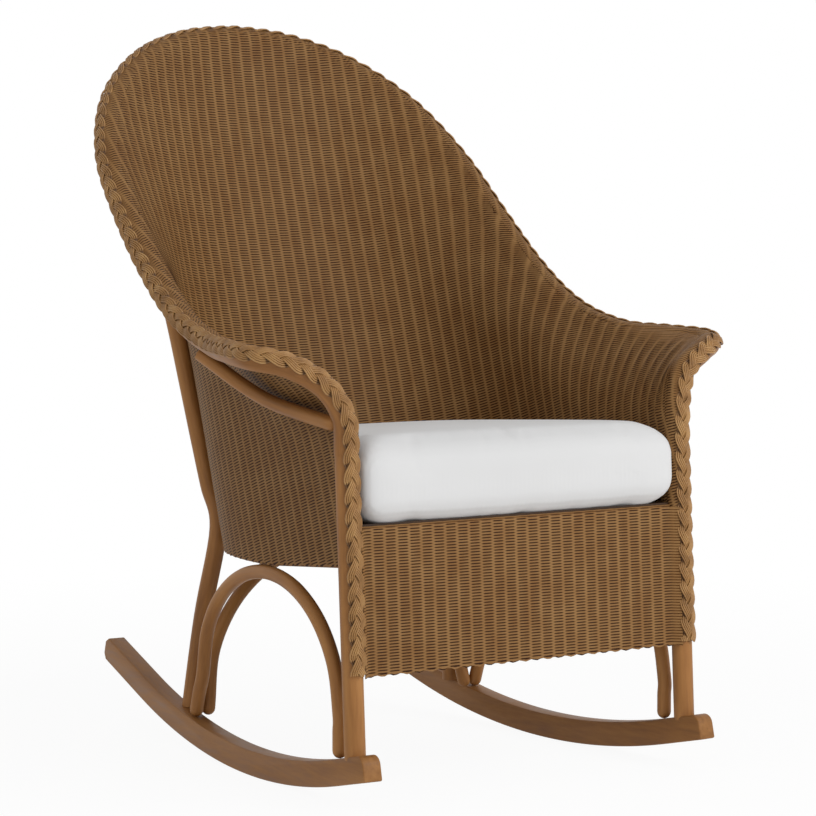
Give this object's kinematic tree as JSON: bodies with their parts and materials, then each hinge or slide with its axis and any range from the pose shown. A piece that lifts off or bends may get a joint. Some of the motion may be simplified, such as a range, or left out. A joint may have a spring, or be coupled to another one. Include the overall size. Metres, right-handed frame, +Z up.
{
  "type": "wicker rocking chair",
  "caption": "Rocking chair with a bent-wood frame on two curved rockers, a woven barrel back that flows into flared arms, a woven apron, a plaited border and a loose seat cushion.",
  "frame": {"origin": "on the floor, midway between the two lines where the rockers touch it", "axes": "+Z up, the chair faces -Y, +X across it"},
  "size_m": [0.826, 0.8509, 1.081],
  "materials": {
    "finished_wood": "brown stain under a satin varnish",
    "plywood": "bare plywood",
    "woven_fibre": "twisted paper fibre, woven and varnished",
    "braided_fibre": "twisted paper fibre, plaited and varnished",
    "canvas": "plain off-white upholstery cloth"
  },
  "bodies": {
    "chair": {"rocker_left": "finished_wood", "rocker_right": "finished_wood", "front_post_left": "finished_wood", "front_post_right": "finished_wood", "rear_post_left": "finished_wood", "rear_post_right": "finished_wood", "side_arch_left": "finished_wood", "side_arch_right": "finished_wood", "back_arch": "finished_wood", "arm_back_bow": "finished_wood", "arm_rail_left": "finished_wood", "arm_rail_right": "finished_wood", "seat_rail_front": "finished_wood", "seat_bow": "finished_wood", "seat_cross_rail": "finished_wood", "seat_deck": "plywood", "woven_shell": "woven_fibre", "front_apron": "woven_fibre", "border_braid": "braided_fibre"},
    "cushion": {"seat_cushion": "canvas"}
  },
  "joints": [
    {"name": "cushion_lift", "type": "slide", "parent": "chair", "child": "cushion", "axis": [0, 0, 1], "range_m": [0, 0.25]}
  ]
}
